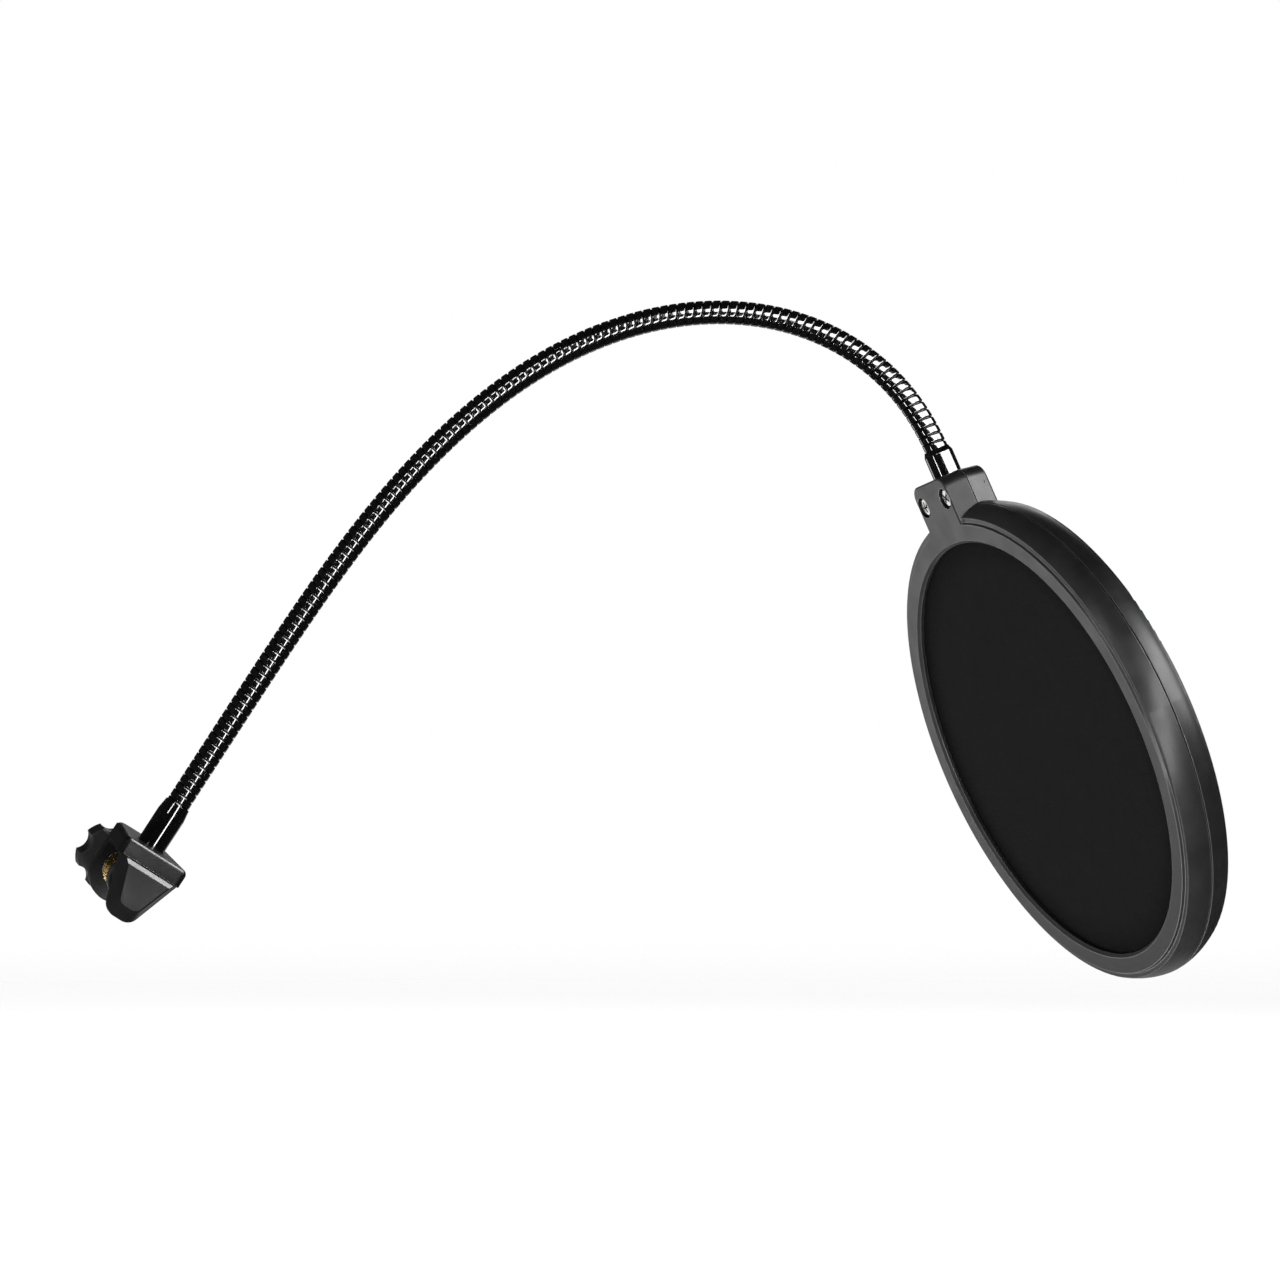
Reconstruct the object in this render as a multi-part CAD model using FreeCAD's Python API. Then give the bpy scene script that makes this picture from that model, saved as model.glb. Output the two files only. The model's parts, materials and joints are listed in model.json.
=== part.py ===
import FreeCAD, Part
import math
import os

# Studio pop filter: a clamp, a gooseneck and a twin-layer screen in a two-part moulded ring.
# Millimetres. +Z is up, and the gooseneck bends in the XZ plane.
# The origin is the middle of the fixed jaw's gripping face.

Vector = FreeCAD.Vector
Rotation = FreeCAD.Rotation
Placement = FreeCAD.Placement
X_AXIS, Y_AXIS, Z_AXIS = Vector(1, 0, 0), Vector(0, 1, 0), Vector(0, 0, 1)

# ---- attitude ----
CLAMP_TILT = 33.0      # the clamp leans this far about Y, so the neck leaves it 57 degrees above level
CLAMP_TURN = 14.0      # the clamp is turned this far about the neck's foot
SCREEN_TURN = -67.6    # the screen is swivelled this far about the neck's upper end

# ---- clamp: x along the gripped tube, y from the fixed to the rear jaw, z up to the neck ----
SPINE_THICK = 5.6
SPINE_FRONT_HALF, SPINE_REAR_HALF = 11.3, 8.2
SPINE_FRONT_ROUND, SPINE_REAR_ROUND, SPINE_TOP_ROUND = 2.0, 5.0, 1.9
JAW_FACE_Y, JAW_BEVEL_Y, JAW_BACK_Y = -22.0, -16.5, -13.2
JAW_FOOT = -23.0
JAW_OUTLINE, JAW_ROUND = [(10.3, -5.3), (4.3, JAW_FOOT)], 4.0        # (half width, z), foot corners
JAW_FACE, JAW_FACE_ROUND = [(7.9, -SPINE_THICK), (3.3, -18.4)], 3.0
JAW_FACE_EDGE = 0.5
JAW_LEDGE = 1.25        # sloping ledge between the bar and the proud face
PAD_OUTLINE, PAD_ROUND = [(7.6, -6.8), (3.6, -20.6)], [1.5, 3.2]
PAD_FACE_Y = -12.0
PAD_POCKET = 1.0
REAR_JAW_Y, REAR_FACE_Y = 18.5, 25.5
REAR_EDGE_ROUND, INNER_CORNER_ROUND = 3.0, 2.0
GRIP_Z = -12.5         # height of the thumbscrew's axis
REST_OPENING = 10.0    # mouth at rest, closed on a 10 mm square tube
FIT = 0.05             # radial running clearance
INSERT_R, INSERT_LENGTH = 4.4, 5.6
INSERT_FLANGE_R, INSERT_FLANGE_THICK = 5.6, 1.2
INSERT_GROOVE_DEPTH, INSERT_GROOVE_AT, INSERT_GROOVE_WIDTH = 0.4, 3.0, 0.9
SPIGOT_R, SPIGOT_LENGTH = 2.95, 3.4                # of the foot ferrule, in the spine
M3_R, M3_HOLE_R, M3_THREAD_R = 1.5, 1.6, 1.52      # shank, clearance hole, tapped hole
SUNK_HEAD_R, SUNK_HEAD_HEIGHT = 2.9, 1.5

# ---- thumbscrew, M6 x 1 ----
SCREW_R, SCREW_HOLE_R = 2.95, 3.3
JOURNAL_R, JOURNAL_CHAMFER = 2.0, 0.3
CLIP_GROOVE_R = 1.35
CUP_R, CUP_PLATE, CUP_THICK = 6.6, 2.6, 4.0
CUP_HUB_R, CUP_WELL_R = 4.2, 3.9
CUP_PAD_THICK = 1.5
PAD_CLIP_R, PAD_CLIP_THICK = 3.3, 0.6
KNOB_GAP = 10.0        # knob boss to rear jaw at rest
KNOB_R, KNOB_THICK, KNOB_LOBES = 10.5, 11.5, 6
KNOB_BOSS_R, KNOB_BOSS = 5.6, 2.0
KNOB_EDGE_ROUND = 0.9
SCALLOP_R, SCALLOP_OUT = 4.2, 2.2                  # scallop radius, its axis outside the knob's rim
HEX_HALF, HEX_START, HEX_THICK = 5.0, 4.0, 4.0     # half across flats, from the boss, thickness
CAP_R, CAP_THICK, CAP_EDGE_ROUND = 6.35, 1.15, 0.4
PRESS_FIT = 0.02

# ---- gooseneck ----
NECK_LENGTH = 338.0    # from the clamp's spine to the screen's block
NECK_STRAIGHT = 40.0   # straight run at the foot
NECK_BEND = 123.4
NECK_RISE, NECK_PEAK, NECK_LOSS = 1.4, 0.89, 0.2   # how the bend gathers along the neck
NECK_STEP = 0.5        # arc length between the points of the neck's line
FERRULE_R = 4.5
FOOT_FERRULE, HEAD_FERRULE = 14.9, 8.4             # lengths that show
FOOT_TAPER_Z = 11.2    # where the foot ferrule starts to narrow
COIL_R, COIL_BORE_R = 3.65, 3.75
MOUTH_R = 4.0          # of the foot ferrule's narrow end
FOOT_BORE_Z, HEAD_BORE_DEPTH = 6.0, 7.6
LINKS = 13             # the coil is cut into links, hinged to each other
LINK_END = 1.3         # end of a link's wire, at its centre, to the hinge plane
SWAY_EVERY = 3         # of the hinges between links, each third one sways and the others curl
LINK_TURNS, FERRULE_TURNS = 8, 3
POINTS_PER_TURN = 10
OUTER_PATH_R = 3.0
# a wedge-shaped wire: its broad crown outside, its edge between the turns of the inner spring
WEDGE = [(0.5, 1.0), (0.2, 1.0), (-0.7, 0.22), (-0.7, -0.22), (0.2, -1.0), (0.5, -1.0)]
WEDGE_CROWN = (COIL_R - OUTER_PATH_R, 0.0)
INNER_PATH_R, INNER_WIRE_R = 2.35, 0.72

# ---- upper ferrule and swivel: radii about the stem, heights in the screen's frame ----
STEM_R, STEM_GROOVE_R, STEM_FOOT = 3.2, 2.4, 77.0
BUSH_R, BUSH_TOP, BUSH_FOOT = 5.6, 87.2, 79.2
WASHER_BORE_R, WASHER_R, WASHER_FOOT, WASHER_TOP = 3.3, 5.5, 78.65, 79.12
CLIP_BORE_R, CLIP_R, CLIP_FOOT, CLIP_THICK = 2.45, 5.0, 77.9, 0.6
CLIP_GAP = 3.2
CAVITY_R, CAVITY_FOOT = 6.2, 76.6
MOUTH_CHAMFER_R, MOUTH_CHAMFER_Z = 0.6, 1.6

# ---- screen: y from the front face to the back, z from the disc's centre to the neck ----
WINDOW_R, RING_FACE_R, RING_MAX_R = 67.4, 73.4, 77.5
RING_DEPTH = 16.0
LIP = 0.9              # bevel round the window, and step round the face
STEP_R = 75.2          # outer edge of the step
SEAM_FRONT, SEAM_BACK = 7.9, 8.3
FRONT_BULGE, REAR_BULGE = (76.75, 4.2), (76.75, 12.0)     # points the crowned walls pass through
BACK_FACE_R, BACK_EDGE_R, BACK_EDGE_BULGE_R = 74.0, 75.3, 74.9
FRONT_WALL_R, REAR_WALL_R = 73.6, 73.9             # inside the two walls
SOCKET_R, SOCKET_Y = 75.5, 5.8                     # the front half's socket for the rear half's tongue
TONGUE_R, TONGUE_Y = 75.45, 6.0
FACE_THICK = 2.0
MESH_THICK, MESH_GAP = 0.35, 0.03
HOOP_R, HOOP_INNER_R, HOOP_CHAMFER = 72.9, 69.4, 0.5
BLOCK_HALF, BLOCK_BACK_HALF = 11.7, 9.0
BLOCK_TOP, BLOCK_FOOT, BLOCK_BACK_DROP = 88.3, 70.0, 1.0
BLOCK_CORNER, TAB_EDGE_ROUND, BLOCK_EDGE_ROUND = 4.0, 0.5, 1.2
SCREW_X, SCREW_Z = 8.1, 81.7
SEAT_R, SEAT_Y = 3.3, 1.9                          # counterbore of a tab screw
SCREW_HEAD_R, SCREW_CROWN_Y, SCREW_END_Y = 3.0, 0.45, 13.6
SCREW_HOLE_Y, SCREW_HOLE_SPARE = 2.0, 0.4          # tapped hole's mouth, and room past the screw's end
MID_DEPTH = RING_DEPTH / 2


# ---- outlines and solids ----
def rounded_wire(points, radii):
    """A closed wire through the corners, each rounded with its own radius (0 leaves it sharp)."""
    count = len(points)
    ends = []
    for i in range(count):
        before, corner, after = points[i - 1], points[i], points[(i + 1) % count]
        to_before = (before - corner).normalize()
        to_after = (after - corner).normalize()
        if radii[i] == 0:
            ends.append((corner, None, corner))
            continue
        half = to_before.getAngle(to_after) / 2
        tangent = radii[i] / math.tan(half)
        centre = corner + (to_before + to_after).normalize() * (radii[i] / math.sin(half))
        middle = centre + (corner - centre).normalize() * radii[i]
        ends.append((corner + to_before * tangent, middle, corner + to_after * tangent))
    edges = []
    for i in range(count):
        start, middle, end = ends[i]
        if middle is not None:
            edges.append(Part.Arc(start, middle, end).toShape())
        following = ends[(i + 1) % count][0]
        if end.distanceToPoint(following) > 1e-6:
            edges.append(Part.makeLine(end, following))
    return Part.Wire(edges)


def symmetric_wire(halves, y, radii):
    """A wire in the plane at depth y, from (half width, z) corners mirrored about x = 0."""
    right = [Vector(x, y, z) for x, z in halves]
    left = [Vector(-x, y, z) for x, z in reversed(halves)]
    return rounded_wire(right + left, radii + radii[::-1])


def plate(halves, radii, y0, y1):
    """A plate with a symmetric outline, from depth y0 to y1."""
    return Part.Face(symmetric_wire(halves, y0, radii)).extrude(Vector(0, y1 - y0, 0))


def ring(inner, outer, start, length, axis=Y_AXIS):
    """A plain ring, or a plain cylinder when inner is 0."""
    body = Part.makeCylinder(outer, length, start, axis)
    if inner == 0:
        return body
    return body.cut(Part.makeCylinder(inner, length + 2, start - axis, axis))


def turned(profile, arcs=()):
    """A solid turned about the local y axis from (radius, y) corners. arcs lists the sides that are
    arcs: a side's number and the point it bulges through."""
    points = [Vector(r, y, 0) for r, y in profile]
    bulges = dict(arcs)
    edges = []
    for i, start in enumerate(points):
        end = points[(i + 1) % len(points)]
        if i in bulges:
            edges.append(Part.Arc(start, Vector(bulges[i][0], bulges[i][1], 0), end).toShape())
        else:
            edges.append(Part.makeLine(start, end))
    return Part.Face(Part.Wire(edges)).revolve(Vector(0, 0, 0), Y_AXIS, 360)


def upright(profile):
    """A solid turned about the z axis from (radius, z) corners."""
    wire = Part.makePolygon([Vector(r, 0, z) for r, z in profile + profile[:1]])
    return Part.Face(wire).revolve(Vector(0, 0, 0), Z_AXIS, 360)


def edges_where(shape, test):
    """The shape's edges whose middle passes the test."""
    found = []
    for edge in shape.Edges:
        middle = edge.valueAt((edge.FirstParameter + edge.LastParameter) / 2)
        if test(middle, edge):
            found.append(edge)
    return found


# ---- where things stand ----
CLAMP_ROTATION = Rotation(Y_AXIS, CLAMP_TILT).multiply(Rotation(Z_AXIS, CLAMP_TURN))
GRIP_CENTRE = Vector(0, PAD_FACE_Y, GRIP_Z)
FOOT = CLAMP_ROTATION.multVec(GRIP_CENTRE) * -1     # the neck's foot, on top of the clamp's spine
CLAMP_PLACE = Placement(FOOT, CLAMP_ROTATION)


def bend_density(s):
    """How sharply the neck bends at arc length s, before scaling to NECK_BEND."""
    run = NECK_LENGTH - HEAD_FERRULE - NECK_STRAIGHT
    t = (s - NECK_STRAIGHT) / run
    if t < 0 or t > 1:
        return 0.0
    if t < NECK_PEAK:
        return (t / NECK_PEAK) ** NECK_RISE
    return 1 - NECK_LOSS * ((t - NECK_PEAK) / (1 - NECK_PEAK)) ** 2


def neck_line(step):
    """Points and headings (degrees above +X) along the neck, one per step."""
    count = round(NECK_LENGTH / step)
    density = [bend_density((i + 0.5) * step) for i in range(count)]
    scale = NECK_BEND / sum(density)
    point, heading = FOOT, 90 - CLAMP_TILT
    line = [(point, heading)]
    for amount in density:
        middle = math.radians(heading - amount * scale / 2)
        point = point + Vector(math.cos(middle), 0, math.sin(middle)) * step
        heading -= amount * scale
        line.append((point, heading))
    return line


NECK_LINE = neck_line(NECK_STEP)


def neck_at(s):
    """Centre, direction and outer normal of the neck at arc length s from its foot."""
    place = min(max(s / NECK_STEP, 0), len(NECK_LINE) - 1)
    low = min(int(place), len(NECK_LINE) - 2)
    (p, h), (q, k) = NECK_LINE[low], NECK_LINE[low + 1]
    share = place - low
    heading = math.radians(h + (k - h) * share)
    along = Vector(math.cos(heading), 0, math.sin(heading))
    outer = Vector(-math.sin(heading), 0, math.cos(heading))
    return p + (q - p) * share, along, outer


HEAD_POINT, HEAD_ALONG, _ = neck_at(NECK_LENGTH)
HEAD_TILT = CLAMP_TILT + NECK_BEND - 180
HEAD_ROTATION = Rotation(Y_AXIS, HEAD_TILT).multiply(Rotation(Z_AXIS, SCREEN_TURN))
HEAD_ORIGIN = HEAD_POINT - HEAD_ROTATION.multVec(Vector(0, MID_DEPTH, BLOCK_TOP))
HEAD_PLACE = Placement(HEAD_ORIGIN, HEAD_ROTATION)

# link i runs from hinge plane i to hinge plane i + 1; planes 0 and LINKS are the ferrules' mouths
LINK_LENGTH = (NECK_LENGTH - HEAD_FERRULE - FOOT_FERRULE) / LINKS
WIRE_LENGTH = LINK_LENGTH - 2 * LINK_END


def hinge_station(number):
    """Arc length of a hinge plane."""
    return FOOT_FERRULE + number * LINK_LENGTH


def wire_turn(number):
    """The wire's turn count at a hinge plane. Each wire ends on the side of the neck that neither
    opens nor closes there: at a quarter turn where the hinge curls, at a half turn where it sways."""
    sways, past_sway = divmod(number, SWAY_EVERY)
    quarters = 2 * sways - (1 if sways and past_sway == 0 else 0)
    return 0.25 + LINK_TURNS * number + 0.25 * quarters


# ---- clamp ----
def clamp_spine():
    """The bar over the mouth: tapered to the rear, with rounded ends and edges."""
    corners = [
        Vector(SPINE_FRONT_HALF, JAW_BEVEL_Y, 0), Vector(SPINE_REAR_HALF, REAR_FACE_Y, 0),
        Vector(-SPINE_REAR_HALF, REAR_FACE_Y, 0), Vector(-SPINE_FRONT_HALF, JAW_BEVEL_Y, 0),
    ]
    rounds = [SPINE_FRONT_ROUND, SPINE_REAR_ROUND, SPINE_REAR_ROUND, SPINE_FRONT_ROUND]
    plan = Part.Face(rounded_wire(corners, rounds))
    bar = plan.extrude(Vector(0, 0, -SPINE_THICK))
    top = edges_where(bar, lambda middle, edge: abs(middle.z) < 1e-6)
    return bar.makeFillet(SPINE_TOP_ROUND, top)


def front_jaw():
    """The fixed jaw: a tapered plate with wide bevels round a proud face, and a ledge over it."""
    jaw = plate(JAW_OUTLINE, [0, JAW_ROUND], JAW_BEVEL_Y, JAW_BACK_Y)
    base = symmetric_wire(JAW_OUTLINE, JAW_BEVEL_Y, [0, JAW_ROUND])
    face = symmetric_wire(JAW_FACE, JAW_FACE_Y, [0, JAW_FACE_ROUND])
    foot = Vector(-SPINE_FRONT_HALF, JAW_FACE_Y, -SPINE_THICK - JAW_LEDGE)
    corners = [foot, foot + Vector(0, 0, SPINE_THICK), foot + Vector(0, SPINE_THICK, SPINE_THICK)]
    over_ledge = Part.Face(Part.makePolygon(corners + [foot])).extrude(X_AXIS * 2 * SPINE_FRONT_HALF)
    wedge = Part.makeLoft([base, face], True, True).cut(over_ledge)
    rim = edges_where(wedge, lambda middle, edge: abs(middle.y - JAW_FACE_Y) < 1e-6)
    return jaw.fuse(wedge.makeFillet(JAW_FACE_EDGE, rim))


def rear_jaw():
    """The rear jaw, which carries the thumbscrew: round-ended, its rear corners rounded off."""
    half = SPINE_REAR_HALF
    outline = [(half, -1.0), (half, JAW_FOOT)]
    jaw = plate(outline, [0, half - FIT], REAR_JAW_Y, REAR_FACE_Y)
    rear = edges_where(
        jaw,
        lambda middle, edge: abs(middle.y - REAR_FACE_Y) < 1e-6 and middle.z < -1.5,
    )
    return jaw.makeFillet(REAR_EDGE_ROUND, rear)


def on_grip_axis(y):
    """The point on the thumbscrew's axis at depth y."""
    return Vector(0, y, GRIP_Z)


def clamp_body():
    body = clamp_spine().fuse([front_jaw(), rear_jaw()]).removeSplitter()
    # the corner between the rear jaw and the underside of the spine
    inner = edges_where(
        body,
        lambda middle, edge: abs(middle.y - REAR_JAW_Y) < 1e-3
        and abs(middle.z + SPINE_THICK) < 1e-3,
    )
    body = body.makeFillet(INNER_CORNER_ROUND, inner)
    under = -SPINE_THICK - 0.1
    return body.cut([
        plate(PAD_OUTLINE, PAD_ROUND, JAW_BACK_Y - PAD_POCKET, JAW_BACK_Y + 1),
        Part.makeCylinder(SPIGOT_R + FIT, SPIGOT_LENGTH + 0.1, Vector(0, 0, -SPIGOT_LENGTH - 0.1)),
        Part.makeCylinder(M3_HOLE_R, SPINE_THICK, Vector(0, 0, under)),
        Part.makeCone(SUNK_HEAD_R + 0.4, M3_HOLE_R, SUNK_HEAD_HEIGHT + 0.2, Vector(0, 0, under)),
        ring(0, INSERT_R, on_grip_axis(REAR_JAW_Y), INSERT_LENGTH),
        ring(0, INSERT_FLANGE_R, on_grip_axis(REAR_JAW_Y - 1), INSERT_FLANGE_THICK + 1),
        ring(0, SCREW_HOLE_R, on_grip_axis(REAR_JAW_Y), REAR_FACE_Y - REAR_JAW_Y + 1),
    ])


def thread_insert():
    """The flanged brass nut in the rear jaw, pulled into its seat when the clamp is tightened."""
    flange = ring(0, INSERT_FLANGE_R, on_grip_axis(REAR_JAW_Y), INSERT_FLANGE_THICK)
    barrel = ring(0, INSERT_R, on_grip_axis(REAR_JAW_Y), INSERT_LENGTH)
    groove_start = on_grip_axis(REAR_JAW_Y + INSERT_GROOVE_AT)
    groove = ring(INSERT_R - INSERT_GROOVE_DEPTH, INSERT_R + 1, groove_start, INSERT_GROOVE_WIDTH)
    bore = ring(0, SCREW_R + FIT, on_grip_axis(REAR_JAW_Y - 1), INSERT_LENGTH + 2)
    return flange.fuse(barrel).cut([groove, bore])


def fixed_jaw_pad():
    return plate(PAD_OUTLINE, PAD_ROUND, JAW_BACK_Y - PAD_POCKET, PAD_FACE_Y)


def foot_ferrule():
    """The neck's lower ferrule: spigot in the spine, coil crimped into its mouth."""
    body = upright([
        (0, -SPIGOT_LENGTH), (SPIGOT_R, -SPIGOT_LENGTH), (SPIGOT_R, 0), (FERRULE_R, 0),
        (FERRULE_R, FOOT_TAPER_Z), (MOUTH_R, FOOT_FERRULE), (0, FOOT_FERRULE),
    ])
    coil_bore = Part.makeCylinder(COIL_BORE_R, FOOT_FERRULE, Vector(0, 0, FOOT_BORE_Z))
    tapped = Part.makeCylinder(M3_THREAD_R, 8.0, Vector(0, 0, -4.0))
    return body.cut([coil_bore, tapped])


def ferrule_screw():
    """The countersunk screw that holds the ferrule, put in from the mouth."""
    under = -SPINE_THICK + 0.05
    length, recess_depth = 8.0, 1.0
    head = Part.makeCone(SUNK_HEAD_R, M3_R, SUNK_HEAD_HEIGHT, Vector(0, 0, under))
    shank = Part.makeCylinder(M3_R, length, Vector(0, 0, under))
    slot = cross_recess(2.0, 0.6, recess_depth)
    slot.rotate(Vector(0, 0, 0), X_AXIS, 90)
    slot.translate(Vector(0, 0, under + recess_depth))
    return head.fuse(shank).cut(slot)


def cross_recess(half, width, depth):
    """A cross-shaped driver recess, sunk along +y from y = 0."""
    bars = [
        Part.makeBox(2 * half, depth, width, Vector(-half, 0, -width / 2)),
        Part.makeBox(width, depth, 2 * half, Vector(-width / 2, 0, -half)),
    ]
    return bars[0].fuse(bars[1])


# ---- thumbscrew and pressure pad ----
CUP_FACE_Y = PAD_FACE_Y + REST_OPENING
CUP_FRONT_Y = CUP_FACE_Y + CUP_PAD_THICK
CUP_BACK_Y = CUP_FRONT_Y + CUP_THICK
KNOB_Y = REAR_FACE_Y + KNOB_GAP
KNOB_END_Y = KNOB_Y + KNOB_THICK


def pressure_cup():
    """The swivelling plate on the screw's tip."""
    disc = ring(0, CUP_R, on_grip_axis(CUP_FRONT_Y), CUP_PLATE)
    hub = ring(0, CUP_HUB_R, on_grip_axis(CUP_FRONT_Y), CUP_THICK)
    journal = ring(0, JOURNAL_R + FIT, on_grip_axis(CUP_FRONT_Y - 1), CUP_THICK + 2)
    well = ring(0, CUP_WELL_R, on_grip_axis(CUP_FRONT_Y - 1), CUP_PLATE)
    return disc.fuse(hub).cut([journal, well])


def cup_pad():
    return ring(0, CUP_R, on_grip_axis(CUP_FACE_Y), CUP_PAD_THICK)


def pad_clip():
    """The open retaining ring in the journal's groove."""
    clip = ring(CLIP_GROOVE_R + FIT, PAD_CLIP_R, on_grip_axis(CUP_FRONT_Y + 0.6), PAD_CLIP_THICK)
    gap = Part.makeBox(2.0, 2.0, 4.0, Vector(-1.0, CUP_FRONT_Y, GRIP_Z - 4.0))
    return clip.cut(gap)


def thumbscrew():
    """Shaft with a journal at the tip and a hexagon at the knob end."""
    tip = CUP_FRONT_Y + 0.2
    groove, groove_end = tip + 0.35, tip + 1.05
    shoulder, head = CUP_BACK_Y + FIT, KNOB_Y + HEX_START
    profile = [
        (0, tip), (JOURNAL_R - JOURNAL_CHAMFER, tip), (JOURNAL_R, tip + JOURNAL_CHAMFER),
        (JOURNAL_R, groove), (CLIP_GROOVE_R, groove), (CLIP_GROOVE_R, groove_end),
        (JOURNAL_R, groove_end), (JOURNAL_R, shoulder), (SCREW_R - 0.5, shoulder),
        (SCREW_R, shoulder + 0.55), (SCREW_R, head), (0, head),
    ]
    shaft = turned(profile)
    shaft.translate(Vector(0, 0, GRIP_Z))
    hexagon = Part.Face(hexagon_wire(HEX_HALF, head)).extrude(Vector(0, HEX_THICK, 0))
    return shaft.fuse(hexagon)


def hexagon_wire(half_flats, y):
    corner = half_flats / math.cos(math.pi / 6)
    points = []
    for i in range(7):
        angle = math.pi / 3 * i
        points.append(Vector(corner * math.cos(angle), y, GRIP_Z + corner * math.sin(angle)))
    return Part.makePolygon(points)


def thumb_knob():
    """The lobed knob, moulded round the screw's hexagon."""
    boss = ring(0, KNOB_BOSS_R, on_grip_axis(KNOB_Y), KNOB_BOSS + 1)
    grip = ring(0, KNOB_R, on_grip_axis(KNOB_Y + KNOB_BOSS), KNOB_THICK - KNOB_BOSS)
    scallops = []
    for i in range(KNOB_LOBES):
        angle = 2 * math.pi * i / KNOB_LOBES
        reach = KNOB_R + SCALLOP_OUT
        start = Vector(reach * math.cos(angle), KNOB_Y, GRIP_Z + reach * math.sin(angle))
        scallops.append(ring(0, SCALLOP_R, start, KNOB_THICK + 2))
    grip = grip.cut(scallops)
    rims = edges_where(
        grip,
        lambda middle, edge: abs(middle.y - KNOB_Y - KNOB_BOSS) < 1e-6
        or abs(middle.y - KNOB_END_Y) < 1e-6,
    )
    grip = grip.makeFillet(KNOB_EDGE_ROUND, rims)
    seat = KNOB_Y + HEX_START - PRESS_FIT
    pocket = Part.Face(hexagon_wire(HEX_HALF + PRESS_FIT, seat)).extrude(Vector(0, KNOB_THICK, 0))
    bore = ring(0, SCREW_R + PRESS_FIT, on_grip_axis(KNOB_Y - 1), HEX_START + 4)
    recess = ring(0, CAP_R + FIT, on_grip_axis(KNOB_END_Y - CAP_THICK - FIT), CAP_THICK + 1)
    return grip.fuse(boss).cut([pocket, bore, recess])


def knob_cap():
    """The disc that closes the knob over the screw's head."""
    lid = ring(0, CAP_R, on_grip_axis(KNOB_END_Y - CAP_THICK), CAP_THICK)
    rim = edges_where(lid, lambda middle, edge: abs(middle.y - KNOB_END_Y) < 1e-6)
    return lid.makeFillet(CAP_EDGE_ROUND, rim)


# ---- gooseneck coil ----
def coil_path(start, first_turn, turns, pitch, radius):
    """A curve coiled round the neck from arc length start."""
    count = round(turns * POINTS_PER_TURN)
    points = []
    for i in range(count + 1):
        turn = turns * i / count
        centre, _, outer = neck_at(start + turn * pitch)
        angle = 2 * math.pi * (first_turn + turn)
        around = outer * math.cos(angle) + Y_AXIS * math.sin(angle)
        points.append(centre + around * radius)
    curve = Part.BSplineCurve()
    curve.interpolate(points)
    return curve


def link_wire(number):
    """Where a link's wire starts, its first turn, how many turns it has, and its pitch. The end links
    run on into the ferrules."""
    start = hinge_station(number) + LINK_END
    first, last = wire_turn(number), wire_turn(number + 1)
    pitch = WIRE_LENGTH / (last - first)
    if number == 0:
        first -= FERRULE_TURNS
        start -= FERRULE_TURNS * pitch
    if number == LINKS - 1:
        last += FERRULE_TURNS
    return start, first, last - first, pitch


def outer_coil(number):
    """The wedge wire wound over the spring."""
    start, first, turns, pitch = link_wire(number)
    curve = coil_path(start, first, turns, pitch, OUTER_PATH_R)
    origin = curve.value(curve.FirstParameter)
    tangent = Vector(*curve.tangent(curve.FirstParameter)[0])
    centre, along, _ = neck_at(start)
    radial = (origin - centre).normalize()
    axial = (along - tangent * along.dot(tangent)).normalize()
    corners = [origin + radial * r + axial * a for r, a in WEDGE]
    crown = origin + radial * WEDGE_CROWN[0] + axial * WEDGE_CROWN[1]
    edges = [Part.Arc(corners[-1], crown, corners[0]).toShape()]
    for here, there in zip(corners, corners[1:]):
        edges.append(Part.makeLine(here, there))
    return Part.Wire([curve.toShape()]).makePipeShell([Part.Wire(edges)], True, True)


def inner_coil(number):
    """The round-wire spring, half a pitch out of step with the wedge wire."""
    start, first, turns, pitch = link_wire(number)
    curve = coil_path(start + pitch / 2, first, turns - 1, pitch, INNER_PATH_R)
    tangent = Vector(*curve.tangent(curve.FirstParameter)[0])
    circle = Part.makeCircle(INNER_WIRE_R, curve.value(curve.FirstParameter), tangent)
    return Part.Wire([curve.toShape()]).makePipeShell([Part.Wire([circle])], True, True)


# ---- upper ferrule and swivel ----
def about_stem(profile):
    """A solid turned about the neck's axis in the screen's block, from (radius, z) corners."""
    solid = upright(profile)
    solid.translate(Vector(0, MID_DEPTH, 0))
    return solid


def head_ferrule():
    """The neck's upper ferrule and the stem it turns on."""
    top = BLOCK_TOP + HEAD_FERRULE
    groove, groove_top = CLIP_FOOT - FIT, CLIP_FOOT + CLIP_THICK + FIT
    body = about_stem([
        (0, STEM_FOOT), (STEM_R, STEM_FOOT), (STEM_R, groove), (STEM_GROOVE_R, groove),
        (STEM_GROOVE_R, groove_top), (STEM_R, groove_top), (STEM_R, BUSH_FOOT),
        (FERRULE_R, BUSH_FOOT), (FERRULE_R, top - MOUTH_CHAMFER_Z),
        (FERRULE_R - MOUTH_CHAMFER_R, top), (0, top),
    ])
    bore_foot = Vector(0, MID_DEPTH, top - HEAD_BORE_DEPTH)
    return body.cut(Part.makeCylinder(COIL_BORE_R, HEAD_BORE_DEPTH + 1, bore_foot))


def swivel_bush():
    return about_stem([
        (FERRULE_R + FIT, BUSH_FOOT), (BUSH_R, BUSH_FOOT), (BUSH_R, BUSH_TOP),
        (FERRULE_R + FIT, BUSH_TOP),
    ])


def friction_washer():
    return about_stem([
        (WASHER_BORE_R, WASHER_FOOT), (WASHER_R, WASHER_FOOT), (WASHER_R, WASHER_TOP),
        (WASHER_BORE_R, WASHER_TOP),
    ])


def swivel_clip():
    """The open retaining ring under the friction washer."""
    foot, top = CLIP_FOOT, CLIP_FOOT + CLIP_THICK
    clip = about_stem([(CLIP_BORE_R, foot), (CLIP_R, foot), (CLIP_R, top), (CLIP_BORE_R, top)])
    gap_start = Vector(0, MID_DEPTH - CLIP_GAP / 2, foot - 0.5)
    gap = Part.makeBox(CLIP_R + 1, CLIP_GAP, CLIP_THICK + 1, gap_start)
    return clip.cut(gap)


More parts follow.
